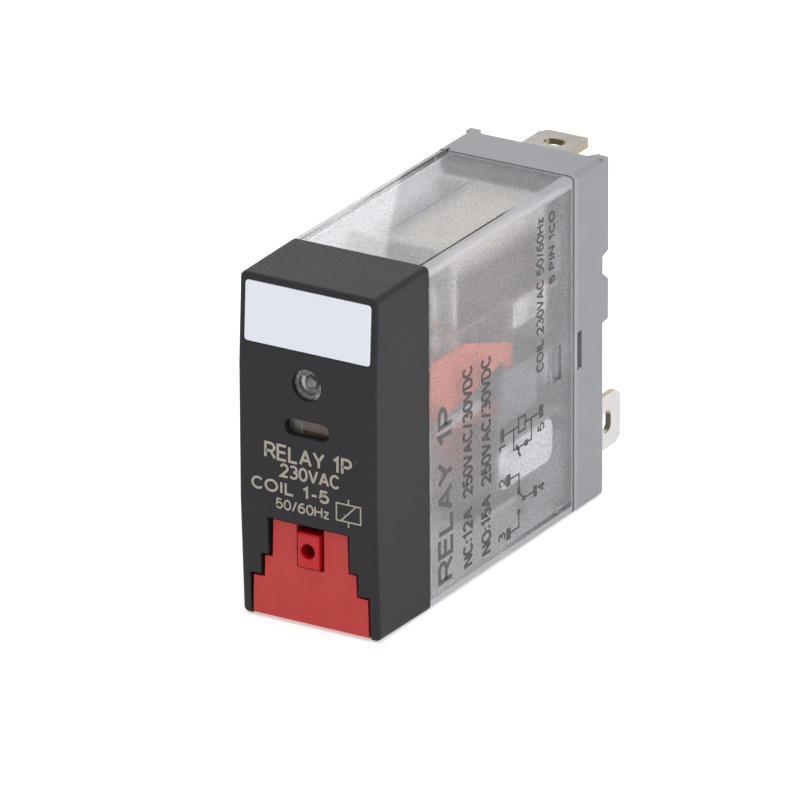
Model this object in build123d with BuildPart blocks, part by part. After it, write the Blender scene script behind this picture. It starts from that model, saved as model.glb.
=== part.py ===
from build123d import *
import os

# Slim plug-in relay with one changeover contact. Millimetres.
# X is the narrow width, -Y the front cap, +Y the blades, Z runs along the long side.
# Y = 0 is the seating plane in the socket. X = 0 and Z = 0 are the middle of the body.

# body
body_width = 12.6
body_height = 29.0
tab_depth = 0.9
joint_y = -4.9
housing_front_y = -27.9
cap_front_y = -36.0
wall = 0.85
fit_gap = 0.05

# cap
cap_width = 12.5
cap_wall = 0.7
cap_inner_y = -34.5
cap_lean = 0.42
well_floor_y = -33.4

# lever
lever_face_y = -35.6
lever_thick = 1.3
lever_bottom_z = -14.3
pivot_y = -34.6
pivot_z = -13.35
slot_half = 1.25
slot_bottom_z = -9.5

# blades
blade_thick = 0.5
blade_width = 4.6
blade_tip_y = 4.5
blade_cut = 0.8
hole_y = 2.35
hole_length = 1.9
hole_width = 1.3
slot_gap = 0.06

# motor
core_z = 7.3
yoke_half = 4.4
yoke_low_z = 0.1
yoke_thick = 1.3
yoke_edge_y = -23.7
yoke_back_y = -6.6
armature_angle = 4.0

# contacts
contact_y = -20.9
blade_pivot_y = -10.9
spring_top_z = -7.375
spring_thick = 0.25

os.makedirs("parts", exist_ok=True)


def outline_points(steps):
    """Mirror a right-hand list of (x, z) points into a closed symmetric outline."""
    return steps + [(-x, z) for x, z in reversed(steps)]


def coil_spring(radius, wire, length, turns):
    """Helical spring along Z from 0 to length."""
    pitch = (length - wire) / turns
    with BuildPart() as spring:
        with BuildLine() as path:
            Helix(pitch, length - wire, radius, center=(0, 0, wire / 2))
        with BuildSketch(Plane(path.line @ 0, z_dir=path.line % 0)):
            Circle(wire / 2)
        sweep(is_frenet=True)
    return spring.part


def blade_points(width, back_y, tip_y):
    """Corner points of a flat blade seen on its face, the tip corners cut."""
    half = width / 2
    cut = blade_cut * 0.6
    right = [(half, back_y), (half, tip_y - blade_cut), (half - cut, tip_y)]
    return right + [(-x, y) for x, y in reversed(right)]


# ---------------------------------------------------------------- clear housing
neck_y = -29.9
with BuildPart() as clear_housing:
    with BuildSketch(Plane.XZ.offset(-joint_y)):
        RectangleRounded(body_width, body_height, 0.45)
    extrude(amount=joint_y - housing_front_y)
    with BuildSketch(Plane.XZ.offset(-housing_front_y)):
        RectangleRounded(10.98, 27.48, 0.4)
    extrude(amount=housing_front_y - neck_y)
    with BuildSketch(Plane.XZ.offset(-joint_y)):
        RectangleRounded(body_width - 2 * wall, body_height - 2 * wall, 0.3)
    extrude(amount=joint_y - housing_front_y - 0.8, mode=Mode.SUBTRACT)
    with BuildSketch(Plane.XZ.offset(-neck_y)):
        RectangleRounded(9.6, 26.1, 0.3)
    extrude(amount=neck_y - housing_front_y, mode=Mode.SUBTRACT)
    # flag opening, plunger opening and two lead holes in the front wall
    with BuildSketch(Plane.XZ.offset(-housing_front_y + 1)):
        with Locations((0.6, 2.6)):
            Rectangle(3.3, 3.6)
        with Locations((0, -7.9)):
            Rectangle(2.6, 2.4)
        with Locations((3.9, 10.8), (-3.9, 10.8)):
            Circle(0.4)
    extrude(amount=-2.5, mode=Mode.SUBTRACT)
    # shallow groove round the rim that meets the base
    with BuildSketch(Plane.XZ.offset(5.35)):
        RectangleRounded(body_width + 1, body_height + 1, 0.45)
        RectangleRounded(body_width - 0.3, body_height - 0.3, 0.4, mode=Mode.SUBTRACT)
    extrude(amount=0.4, mode=Mode.SUBTRACT)
    # snap windows in both long sides
    with BuildSketch(Plane.YZ.offset(-body_width)):
        with Locations((-8.2, -0.55)):
            RectangleRounded(1.4, 3.0, 0.15)
    extrude(amount=2 * body_width, mode=Mode.SUBTRACT)
clear_housing.part.label = "clear_housing"
export_step(clear_housing.part, "parts/clear_housing.step")

# ---------------------------------------------------------------- base
base_face_y = -tab_depth
flange_depth = base_face_y - joint_y
tab_thick = 0.8
long_tab = [(-tab_depth, 6.15), (0, 6.45), (0, 14.3), (-0.2, 14.5), (-tab_depth, 14.5)]
short_tab = [(-tab_depth, 0.45), (0, 0.6), (0, 3.98), (-tab_depth, 4.7)]
with BuildPart() as base:
    with BuildSketch(Plane.XZ.offset(-joint_y)):
        RectangleRounded(body_width, body_height, 0.45)
    extrude(amount=-flange_depth)
    # seating ribs along both long sides
    for side in (-1, 1):
        rib_plane = Plane.YZ.offset(side * (body_width / 2 - tab_thick / 2))
        with BuildSketch(rib_plane):
            with BuildLine():
                Polyline(*long_tab, close=True)
            make_face()
            with BuildLine():
                Polyline(*short_tab, close=True)
            make_face()
        extrude(amount=tab_thick / 2, both=True)
        # ramp that carries the top rib round the corner
        with BuildSketch(Plane.XY.offset(14.05)):
            with BuildLine():
                Polyline(
                    (side * 5.5, -tab_depth),
                    (side * 5.5, -0.02),
                    (side * 4.9, -tab_depth),
                    close=True,
                )
            make_face()
        extrude(amount=0.45)
    # skirt inside the housing
    with BuildSketch(Plane.XZ.offset(-joint_y)):
        RectangleRounded(10.8, 27.2, 0.3)
        Rectangle(9.2, 25.6, mode=Mode.SUBTRACT)
    extrude(amount=1.5)
    # latch arms with their hooks
    for side in (-1, 1):
        with Locations((side * 5.05, (joint_y - 9.6) / 2, -0.55)):
            Box(0.7, 9.6 + joint_y, 2.5)
        with BuildSketch(Plane.XY.offset(-1.8)):
            with BuildLine():
                Polyline(
                    (side * 5.3, -8.8),
                    (side * 5.45, -8.8),
                    (side * 6.12, -7.7),
                    (side * 6.12, -7.58),
                    (side * 5.3, -7.58),
                    close=True,
                )
            make_face()
        extrude(amount=2.5)
    # barrier between the motor and the contacts
    with Locations((0, (joint_y - 13.4) / 2, -1.1)):
        Box(8.6, 13.4 + joint_y, 0.8)
    # contact posts along the long sides and the shelf for the return spring
    with Locations((4.62, (joint_y - 12.4) / 2, -9.6)):
        Box(1.4, 12.4 + joint_y, 5.6)
    with Locations((-4.62, (joint_y - 12.4) / 2, -9.6)):
        Box(1.4, 12.4 + joint_y, 5.6)
    with Locations((4.25, (joint_y - 16.4) / 2, -4.8)):
        Box(1.9, 16.4 + joint_y, 0.6)
    with Locations((4.25, -15.3, -4.3)):
        Cylinder(0.42, 0.6)
    # side plates of the contact chamber, carried by the barrier
    for side in (-1, 1):
        with Locations((side * 4.8, (-10.5 - 13.3) / 2, -1.1)):
            Box(1.1, 2.8, 0.8)
        with Locations((side * 5.2, -13.25, -1.05)):
            Box(0.3, 5.5, 4.3)
    # coil end posts
    with Locations((5.0, -6.4, 8.6), (-5.0, -6.4, 8.6)):
        Box(0.6, 3.0, 3.4)
    # recesses that hold the contact guards over the blade slots
    for side in (-1, 1):
        with Locations((side * 5.15, -10.2, -7.8)):
            Box(0.5, 4.6, 2.1, mode=Mode.SUBTRACT)
    # lengthwise blade slots run on through the contact posts
    for side in (-1, 1):
        with Locations((side * 4.6, -6.5, -9.55)):
            Box(blade_thick + slot_gap, 18.0, blade_width + slot_gap, mode=Mode.SUBTRACT)
    # crosswise blade slots
    with Locations((0, -2.5, 13.4), (0, -2.5, 5.9), (0, -2.5, -3.5)):
        Box(blade_width + slot_gap, 6.0, blade_thick + slot_gap, mode=Mode.SUBTRACT)
    # steps of the two coil terminals inside the base
    with Locations((0, -3.9, 12.45)):
        Box(2.2, 2.2, 2.5, mode=Mode.SUBTRACT)
    with Locations((3.7, -4.15, 5.9)):
        Box(3.2, 1.7, blade_thick + slot_gap, mode=Mode.SUBTRACT)
    with Locations((4.87, -6.0, 5.9)):
        Box(0.66, 4.0, blade_thick + slot_gap, mode=Mode.SUBTRACT)
    # pry notches at the joint
    for side in (-1, 1):
        with Locations((side * 6.2, joint_y + 0.35, -0.6)):
            Box(0.8, 0.7, 3.2, mode=Mode.SUBTRACT)
    # moulding pockets on the blade side
    with Locations((0, base_face_y - 0.3, 9.65), (0, base_face_y - 0.3, 1.2)):
        Box(7.4, 0.6, 4.4, mode=Mode.SUBTRACT)
    with Locations((0, base_face_y - 0.3, -9.55)):
        Box(6.2, 0.6, 6.4, mode=Mode.SUBTRACT)
base.part.label = "base"
export_step(base.part, "parts/base.step")

# ---------------------------------------------------------------- front cap
lens_z = 6.15
flag_z = 2.43
facet_low_z = 7.0
facet_high_z = 14.4
label_z = 11.35
label_depth = 0.35
# plane of the leaned upper facet, centred on the label
facet_slope = cap_lean / (facet_high_z - facet_low_z)
label_y = cap_front_y + facet_slope * (label_z - facet_low_z)
label_plane = Plane(origin=(0, label_y, label_z), x_dir=(1, 0, 0), z_dir=(0, -1, facet_slope))
cap_steps = [(3.72, -5.7), (3.72, -8.9), (4.45, -8.9), (4.45, -10.75), (5.48, -10.75), (5.48, -16.0)]
front_profile = [
    (housing_front_y, -14.54),
    (housing_front_y, 14.54),
    (cap_front_y + cap_lean, 14.4),
    (cap_front_y, facet_low_z),
    (cap_front_y, -4.6),
    (cap_front_y + cap_lean, -14.4),
]
with BuildPart() as front_cap:
    with BuildSketch(Plane.YZ.offset(-cap_width / 2)):
        with BuildLine():
            Polyline(*front_profile, close=True)
        make_face()
    extrude(amount=cap_width)
    side_edges = front_cap.edges().filter_by(Axis.Y, tolerance=3)
    fillet(side_edges, 0.45)
    front_edges = front_cap.faces().filter_by(lambda f: f.normal_at().Y < -0.9)
    fillet(front_edges.edges().filter_by(lambda e: abs(e.center().X) > 5.9), 0.3)
    # inside
    with BuildSketch(Plane.XZ.offset(-housing_front_y)):
        Rectangle(cap_width - 2 * cap_wall, 27.58)
    extrude(amount=housing_front_y - cap_inner_y, mode=Mode.SUBTRACT)
    # lever well: the front is open, a floor stays behind it
    with BuildSketch(Plane.XZ.offset(36.5)):
        with BuildLine():
            Polyline(*outline_points(cap_steps), close=True)
        make_face()
    extrude(amount=-(36.5 + well_floor_y), mode=Mode.SUBTRACT)
    with Locations((0, well_floor_y + 0.35, -8.55)):
        Box(cap_width - 2 * cap_wall + 0.1, 0.7, 8.6)
    with Locations((0, well_floor_y, -7.85)):
        Box(2.3, 3.0, 3.2, mode=Mode.SUBTRACT)
    # label recess
    with BuildSketch(label_plane.offset(-label_depth)):
        RectangleRounded(11.5, 5.1, 0.35)
    extrude(amount=2, mode=Mode.SUBTRACT)
    with BuildSketch(label_plane):
        Rectangle(2.4, 1.4)
    extrude(amount=-3, mode=Mode.SUBTRACT)
    # lens hole and flag slot
    with BuildSketch(Plane.XZ.offset(36.5)):
        with Locations((0, lens_z)):
            Circle(1.32)
        with Locations((0, flag_z)):
            SlotOverall(4.1, 1.46)
    extrude(amount=-3.5, mode=Mode.SUBTRACT)
    # pocket that lets the flag come close behind the slot
    with Locations((0.1, cap_inner_y - 0.35, flag_z + 0.2)):
        Box(5.0, 0.9, 3.5, mode=Mode.SUBTRACT)
    # pivot bores of the lever, blind
    with Locations(Plane.YZ.offset(-5.88)):
        with Locations((pivot_y, pivot_z)):
            Cylinder(0.5, 11.76, align=(Align.CENTER, Align.CENTER, Align.MIN), mode=Mode.SUBTRACT)
    # board posts
    with Locations((3.3, (cap_inner_y - 31.55) / 2, 10.4), (-3.3, (cap_inner_y - 31.55) / 2, 10.4)):
        Box(1.3, 2.95, 1.3)
front_cap.part.label = "front_cap"
export_step(front_cap.part, "parts/front_cap.step")

# ---------------------------------------------------------------- label plate
with BuildPart() as label_plate:
    with BuildSketch(label_plane.offset(fit_gap - label_depth)):
        RectangleRounded(11.4, 5.0, 0.3)
    extrude(amount=0.38)
    fillet(label_plate.faces().sort_by(Axis.Y)[0].edges(), 0.12)
    with BuildSketch(label_plane.offset(-label_depth - 1.0)):
        Rectangle(2.2, 1.2)
    extrude(amount=1.1)
label_plate.part.label = "label_plate"
export_step(label_plate.part, "parts/label_plate.step")

# ---------------------------------------------------------------- lens
lens_back_y = cap_inner_y + fit_gap
with BuildPart() as led_lens:
    with Locations(Plane.XZ.offset(-lens_back_y)):
        with Locations((0, lens_z)):
            Cylinder(1.3, 1.1, align=(Align.CENTER, Align.CENTER, Align.MIN))
            Cylinder(1.75, 0.3, align=(Align.CENTER, Align.CENTER, Align.MAX))
            Cylinder(1.0, 2.1, align=(Align.CENTER, Align.CENTER, Align.MAX))
    with Locations(Plane.XZ.offset(35.1)):
        with Locations((0, lens_z)):
            Cylinder(1.0, 1.0, align=(Align.CENTER, Align.CENTER, Align.MIN), mode=Mode.SUBTRACT)
    with Locations((0, -35.0, lens_z)):
        Sphere(0.62)
led_lens.part.label = "led_lens"
export_step(led_lens.part, "parts/led_lens.step")

# ---------------------------------------------------------------- flag window
with BuildPart() as flag_window:
    with BuildSketch(Plane.XZ.offset(34.97)):
        with Locations((0.1, 2.63)):
            RectangleRounded(4.9, 3.4, 0.2)
    extrude(amount=0.3)
flag_window.part.label = "flag_window"
export_step(flag_window.part, "parts/flag_window.step")

# ---------------------------------------------------------------- test lever
lever_steps = [(3.38, -5.93), (3.46, -9.15), (4.15, -9.15), (4.2, -11.0), (5.2, -11.0), (5.25, -13.3)]
with BuildPart() as test_lever:
    with BuildSketch(Plane.XZ.offset(-lever_face_y)):
        with BuildLine():
            Polyline(*outline_points(lever_steps), close=True)
        make_face()
    extrude(amount=-lever_thick)
    # rounded foot around the pivot
    with BuildSketch(Plane.YZ.offset(-5.25)):
        with BuildLine():
            Polyline(
                (lever_face_y, -12.7),
                (lever_face_y, lever_bottom_z),
                (-33.9, lever_bottom_z),
                (-33.65, -13.9),
                (-33.65, -13.0),
                (lever_face_y + lever_thick, -12.7),
                close=True,
            )
        make_face()
    extrude(amount=10.5)
    foot_edges = test_lever.edges().filter_by(Axis.X).filter_by(lambda e: e.center().Z < -14.2)
    fillet(foot_edges, 0.3)
    # slot for the button
    with BuildSketch(Plane.XZ.offset(37)):
        with Locations((0, (slot_bottom_z - 5.0) / 2)):
            Rectangle(2 * slot_half, -5.0 - slot_bottom_z)
    extrude(amount=-3.5, mode=Mode.SUBTRACT)
    # pivot pins
    with Locations(Plane.YZ.offset(-5.72)):
        with Locations((pivot_y, pivot_z)):
            Cylinder(0.45, 11.44, align=(Align.CENTER, Align.CENTER, Align.MIN))
test_lever.part.label = "test_lever"
export_step(test_lever.part, "parts/test_lever.step")

# ---------------------------------------------------------------- test button
button_z = -7.85
with BuildPart() as test_button:
    with Locations((0, -34.2, button_z)):
        Box(2.0, 3.6, 2.9)
    rim = test_button.edges().filter_by(lambda e: e.center().Y < -35.9)
    fillet(rim, 0.18)
    # collar behind the well floor
    with Locations((0, -32.25, button_z)):
        Box(3.4, 0.7, 4.2)
    # plunger
    with Locations((0, -29.2, button_z)):
        Box(1.5, 5.6, 1.3)
    with Locations(Plane.XZ.offset(36)):
        with Locations((0, button_z)):
            Cylinder(0.65, 2.4, align=(Align.CENTER, Align.CENTER, Align.MAX), mode=Mode.SUBTRACT)
test_button.part.label = "test_button"
export_step(test_button.part, "parts/test_button.step")

button_coil = coil_spring(1.35, 0.28, 3.85, 5)
with BuildPart() as button_spring:
    add(Plane.XZ.offset(28.0).location * Pos(0, button_z, 0) * button_coil)
button_spring.part.label = "button_spring"
export_step(button_spring.part, "parts/button_spring.step")

# ---------------------------------------------------------------- blades
# coil terminal 1, at the label end: blade, step down, post
with BuildPart() as coil_terminal_1:
    with BuildSketch(Plane.XY.offset(13.15)):
        with BuildLine():
            Polyline(*blade_points(blade_width, -3.3, blade_tip_y), close=True)
        make_face()
        with Locations((0, hole_y)):
            SlotOverall(hole_length, hole_width, mode=Mode.SUBTRACT)
    extrude(amount=blade_thick)
    with Locations((0, -3.3, 12.6)):
        Box(1.9, 0.6, 1.6)
    with Locations((0, -5.5, 11.75)):
        Box(1.9, 5.0, blade_thick)
coil_terminal_1.part.label = "coil_terminal_1"
export_step(coil_terminal_1.part, "parts/coil_terminal_1.step")

# coil terminal 5: blade, strip to the side, post beside the yoke
with BuildPart() as coil_terminal_5:
    with BuildSketch(Plane.XY.offset(5.65)):
        with BuildLine():
            Polyline(*blade_points(blade_width, -4.6, blade_tip_y), close=True)
        make_face()
        with Locations((0, hole_y)):
            SlotOverall(hole_length, hole_width, mode=Mode.SUBTRACT)
        with Locations((3.6, -4.1)):
            Rectangle(3.1, 1.0)
        with Locations((4.87, -6.2)):
            Rectangle(0.55, 4.0)
    extrude(amount=blade_thick)
coil_terminal_5.part.label = "coil_terminal_5"
export_step(coil_terminal_5.part, "parts/coil_terminal_5.step")

# common terminal 3: blade, leg down behind the arms, tongue under the blade root
with BuildPart() as common_terminal:
    with BuildSketch(Plane.XY.offset(-3.75)):
        with BuildLine():
            Polyline(*blade_points(blade_width, -7.2, blade_tip_y), close=True)
        make_face()
        with Locations((0, hole_y)):
            SlotOverall(hole_length, hole_width, mode=Mode.SUBTRACT)
    extrude(amount=blade_thick)
    with Locations((0, -6.95, -5.7)):
        Box(4.2, blade_thick, 4.86)
    with Locations((0, (-6.7 + blade_pivot_y + 0.05) / 2, -7.875)):
        Box(4.2, 4.15, blade_thick)
common_terminal.part.label = "common_terminal"
export_step(common_terminal.part, "parts/common_terminal.step")

edge_blade_z = -9.55
edge_blade = blade_points(blade_width, -12.6, blade_tip_y)

# normally open terminal 4: blade on edge at +X, arm below the moving contact
with BuildPart() as no_terminal:
    with BuildSketch(Plane.YZ.offset(4.35)):
        with BuildLine():
            Polyline(*[(y, x + edge_blade_z) for x, y in edge_blade], close=True)
        make_face()
        with Locations((hole_y, edge_blade_z)):
            SlotOverall(hole_length, hole_width, rotation=90, mode=Mode.SUBTRACT)
    extrude(amount=blade_thick)
    with BuildSketch(Plane.XY.offset(-10.7)):
        with BuildLine():
            Polyline(
                (4.85, -13.1),
                (4.85, -19.0),
                (2.2, -20.4),
                (2.2, -22.7),
                (-2.2, -22.7),
                (-2.2, -18.0),
                (3.2, -13.1),
                close=True,
            )
        make_face()
    extrude(amount=blade_thick)
    with Locations((4.6, -12.85, -10.45)):
        Box(blade_thick, 0.6, blade_thick)
no_terminal.part.label = "no_terminal"
export_step(no_terminal.part, "parts/no_terminal.step")

# normally closed terminal 2: blade on edge at -X, arm above the moving contact
with BuildPart() as nc_terminal:
    with BuildSketch(Plane.YZ.offset(-4.85)):
        with BuildLine():
            Polyline(*[(y, x + edge_blade_z) for x, y in edge_blade], close=True)
        make_face()
        with Locations((hole_y, edge_blade_z)):
            SlotOverall(hole_length, hole_width, rotation=90, mode=Mode.SUBTRACT)
        with Locations((-14.8, -8.5)):
            Rectangle(4.6, 6.7)
    extrude(amount=blade_thick)
    with BuildSketch(Plane.XY.offset(-5.7)):
        with BuildLine():
            Polyline(
                (-4.85, -12.5),
                (-4.85, -19.6),
                (-2.2, -22.7),
                (2.2, -22.7),
                (2.2, -18.9),
                (-2.4, -18.9),
                (-2.4, -12.5),
                close=True,
            )
        make_face()
    extrude(amount=blade_thick)
nc_terminal.part.label = "nc_terminal"
export_step(nc_terminal.part, "parts/nc_terminal.step")


def contact_guard(name, side):
    """White insulating plate over the slot of a contact blade."""
    with BuildPart() as guard:
        with BuildSketch(Plane.YZ.offset(side * 5.13)):
            with Locations((-12.2, -6.98)):
                RectangleRounded(8.4, 3.6, 0.9)
        extrude(amount=0.2, both=True)
    guard.part.label = name
    export_step(guard.part, "parts/" + name + ".step")
    return guard


contact_guard_right = contact_guard("contact_guard_right", 1)
contact_guard_left = contact_guard("contact_guard_left", -1)


def contact_rivet(name, low_z, high_z, radius, face_up):
    """Flat rivet, its rim rounded on the side that meets the moving contact."""
    with BuildPart() as rivet:
        with Locations((0, contact_y, low_z)):
            Cylinder(radius, high_z - low_z, align=(Align.CENTER, Align.CENTER, Align.MIN))
        ends = rivet.faces().filter_by(Axis.Z).sort_by(Axis.Z)
        face = ends[-1] if face_up else ends[0]
        fillet(face.edges(), 0.25)
    rivet.part.label = name
    export_step(rivet.part, "parts/" + name + ".step")
    return rivet


no_contact = contact_rivet("no_contact", -10.2, -9.42, 1.5, True)
nc_contact = contact_rivet("nc_contact", -6.55, -5.7, 1.5, False)

# ---------------------------------------------------------------- contact blade
with BuildPart() as contact_blade:
    with BuildSketch(Plane.XY.offset(spring_top_z - spring_thick)):
        with BuildLine():
            Polyline(
                (-2.0, blade_pivot_y - 0.06),
                (2.0, blade_pivot_y - 0.06),
                (2.0, -17.6),
                (1.7, -22.4),
                (-1.7, -22.4),
                (-2.0, -17.6),
                close=True,
            )
        make_face()
        with Locations((0, -13.4)):
            SlotOverall(3.0, 0.9, rotation=90, mode=Mode.SUBTRACT)
        with Locations((0, contact_y)):
            Circle(0.75, mode=Mode.SUBTRACT)
    extrude(amount=spring_thick)
contact_blade.part.label = "contact_blade"
export_step(contact_blade.part, "parts/contact_blade.step")

with BuildPart() as moving_contact:
    with Locations((0, contact_y, spring_top_z - spring_thick / 2)):
        Cylinder(0.73, spring_thick + 0.02)
    with Locations((0, contact_y, spring_top_z + 0.01)):
        Cone(1.45, 1.3, 0.74, align=(Align.CENTER, Align.CENTER, Align.MIN))
    with Locations((0, contact_y, spring_top_z - spring_thick - 0.01)):
        Cone(1.3, 1.45, 0.74, align=(Align.CENTER, Align.CENTER, Align.MAX))
moving_contact.part.label = "moving_contact"
export_step(moving_contact.part, "parts/moving_contact.step")

with BuildPart() as spring_clamp:
    with Locations((0, -9.1, spring_top_z - spring_thick / 2)):
        Box(4.0, 3.4, spring_thick)
    with Locations((0, -9.2, spring_top_z + 0.2)):
        Box(3.8, 2.4, 0.4)
    with Locations((1.1, -9.2, spring_top_z + 0.4), (-1.1, -9.2, spring_top_z + 0.4)):
        Cylinder(0.6, 0.35, align=(Align.CENTER, Align.CENTER, Align.MIN))
spring_clamp.part.label = "spring_clamp"
export_step(spring_clamp.part, "parts/spring_clamp.step")

# ---------------------------------------------------------------- coil
flange_back_y = -8.1
flange_front_y = -22.6
flange_thick = 0.8
with BuildPart() as bobbin:
    for face_y in (flange_back_y, flange_front_y + flange_thick):
        with BuildSketch(Plane.XZ.offset(-face_y)):
            with Locations((0, core_z)):
                RectangleRounded(9.2, 11.3, 0.5)
        extrude(amount=flange_thick)
    with BuildSketch(Plane.XZ.offset(-flange_back_y)):
        with Locations((0, core_z)):
            RectangleRounded(5.8, 5.8, 1.2)
    extrude(amount=flange_back_y - flange_front_y)
    # terminal tabs beside the winding
    for side in (-1, 1):
        with Locations((side * 4.68, -11.1, 5.45)):
            Box(0.3, 5.8, 2.3)
        with Locations((side * 5.0, -11.4, 5.45)):
            Box(0.44, 5.2, 2.3)
    with BuildSketch(Plane.XZ.offset(5)):
        with Locations((0, core_z)):
            Circle(2.3)
    extrude(amount=20, mode=Mode.SUBTRACT)
bobbin.part.label = "bobbin"
export_step(bobbin.part, "parts/bobbin.step")

wind_back_y = flange_back_y - flange_thick - 0.03
wind_length = wind_back_y - (flange_front_y + flange_thick) - 0.03
with BuildPart() as coil_winding:
    with BuildSketch(Plane.XZ.offset(-wind_back_y)):
        with Locations((0, core_z)):
            RectangleRounded(8.6, 10.4, 3.2)
            RectangleRounded(5.86, 5.86, 1.2, mode=Mode.SUBTRACT)
    extrude(amount=wind_length)
coil_winding.part.label = "coil_winding"
export_step(coil_winding.part, "parts/coil_winding.step")

with BuildPart() as coil_tape:
    with BuildSketch(Plane.XZ.offset(-wind_back_y)):
        with Locations((0, core_z)):
            RectangleRounded(9.0, 10.8, 3.35)
            RectangleRounded(8.66, 10.46, 3.2, mode=Mode.SUBTRACT)
    extrude(amount=wind_length)
coil_tape.part.label = "coil_tape"
export_step(coil_tape.part, "parts/coil_tape.step")

pole_face_y = -23.68
with BuildPart() as iron_core:
    with Locations(Plane.XZ):
        with Locations((0, core_z, 22.72)):
            Cylinder(3.3, -pole_face_y - 22.72, align=(Align.CENTER, Align.CENTER, Align.MIN))
        with Locations((0, core_z, 7.95)):
            Cylinder(2.25, 14.8, align=(Align.CENTER, Align.CENTER, Align.MIN))
        with Locations((0, core_z, 6.4)):
            Cylinder(1.75, 1.6, align=(Align.CENTER, Align.CENTER, Align.MIN))
    # groove of the shading ring
    with Locations((0, pole_face_y + 0.2, core_z + 1.0)):
        Box(7.0, 0.5, 0.62, mode=Mode.SUBTRACT)
iron_core.part.label = "iron_core"
export_step(iron_core.part, "parts/iron_core.step")

with BuildPart() as shading_ring:
    with BuildSketch(Plane.XZ.offset(23.26)):
        with Locations((0, core_z + 1.0)):
            Rectangle(6.1, 0.5)
    extrude(amount=0.36)
shading_ring.part.label = "shading_ring"
export_step(shading_ring.part, "parts/shading_ring.step")

with BuildPart() as yoke:
    with BuildSketch(Plane.YZ.offset(-yoke_half)):
        with BuildLine():
            Polyline(
                (yoke_edge_y, yoke_low_z),
                (yoke_back_y, yoke_low_z),
                (yoke_back_y, 10.9),
                (yoke_back_y - yoke_thick, 10.9),
                (yoke_back_y - yoke_thick, yoke_low_z + yoke_thick),
                (yoke_edge_y, yoke_low_z + yoke_thick),
                close=True,
            )
        make_face()
    extrude(amount=2 * yoke_half)
    bend = yoke.edges().filter_by(Axis.X).sort_by(lambda e: -e.center().Y + e.center().Z)[0]
    fillet(bend, 0.8)
    with Locations(Plane.XZ):
        with Locations((0, core_z, 5)):
            Cylinder(1.78, 4, align=(Align.CENTER, Align.CENTER, Align.MIN), mode=Mode.SUBTRACT)
yoke.part.label = "yoke"
export_step(yoke.part, "parts/yoke.step")

# ---------------------------------------------------------------- armature
arm_gap = 0.05
leg_thick = 1.1
hinge_y = yoke_edge_y
hinge_z = yoke_low_z
hinge_plane = Plane(origin=(0, hinge_y, hinge_z), x_dir=(0, 1, 0), z_dir=(1, 0, 0))
with BuildPart() as armature:
    # face leg over the pole, drawn in its closed place and leaned out by the open angle
    with BuildSketch(hinge_plane.offset(-yoke_half)):
        with Locations(Rotation(0, 0, armature_angle)):
            with Locations((-arm_gap - leg_thick / 2, 5.3)):
                Rectangle(leg_thick, 11.4)
        with Locations((2.3, -0.25 - leg_thick / 2)):
            Rectangle(7.0, leg_thick)
    extrude(amount=2 * yoke_half)
    corner = armature.edges().filter_by(Axis.X).sort_by(lambda e: e.center().Y + e.center().Z)[0]
    fillet(corner, 0.4)
armature.part.label = "armature"
export_step(armature.part, "parts/armature.step")

# ---------------------------------------------------------------- actuator
cheek = [(-26.9, 5.8), (-21.0, 5.6), (-14.6, 3.4), (-14.6, 2.6), (-19.5, 1.2), (-22.7, 0.8), (-26.9, 1.0)]
with BuildPart() as actuator:
    for low_x in (-5.25, 4.75):
        with BuildSketch(Plane.YZ.offset(low_x)):
            with BuildLine():
                Polyline(*cheek, close=True)
            make_face()
        extrude(amount=0.5)
    # saddle under the armature leg
    with Locations((0, -17.35, -2.0)):
        Box(7.0, 6.9, 0.8)
    with Locations((0, -14.25, -2.0)):
        Box(9.5, 1.3, 0.8)
    # seat over the return spring, on one side only
    with Locations((4.1, -15.5, -2.0)):
        Box(1.3, 1.3, 0.8)
    # webs that carry the saddle, behind the side plates of the contact chamber
    with Locations((4.62, -14.25, 0.4), (-4.62, -14.25, 0.4)):
        Box(0.3, 1.3, 5.6)
    # ears that join the webs to the cheeks
    with Locations((4.87, -14.5, 2.95), (-4.87, -14.5, 2.95)):
        Box(0.76, 0.8, 0.5)
    # front bar and flag nose
    with Locations((0, -26.0, 2.5)):
        Box(10.5, 0.6, 2.0)
    with Locations((5.0, -26.0, 3.2), (-5.0, -26.0, 3.2)):
        Box(0.5, 0.9, 3.4)
    with Locations((0.8, -30.4, 2.3)):
        Box(1.6, 8.6, 0.9)
    with Locations((0.57, -34.5, 2.15)):
        Box(3.05, 0.7, 2.2)
    # push nib
    with Locations((0, -16.9, -4.78)):
        Box(2.2, 1.2, 5.04)
    nib_end = actuator.edges().filter_by(Axis.X).filter_by(lambda e: e.center().Z < -7.2)
    fillet(nib_end, 0.4)
actuator.part.label = "actuator"
export_step(actuator.part, "parts/actuator.step")

return_coil = coil_spring(0.65, 0.2, 2.05, 4)
with BuildPart() as return_spring:
    add(Pos(4.25, -15.3, -4.48) * return_coil)
return_spring.part.label = "return_spring"
export_step(return_spring.part, "parts/return_spring.step")

# ---------------------------------------------------------------- board in the cap
with BuildPart() as led_board:
    with Locations((0, -31.2, 8.25)):
        Box(9.2, 0.6, 6.5)
    with Locations((3.9, -31.2, 10.8), (-3.9, -31.2, 10.8)):
        Cylinder(0.25, 2.0, rotation=(90, 0, 0), mode=Mode.SUBTRACT)
led_board.part.label = "led_board"
export_step(led_board.part, "parts/led_board.step")

with BuildPart() as status_led:
    with Locations((0, -31.75, lens_z)):
        Box(2.0, 0.48, 1.2)
    with Locations((0, -32.1, lens_z)):
        Box(1.2, 0.4, 0.9)
status_led.part.label = "status_led"
export_step(status_led.part, "parts/status_led.step")

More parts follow.
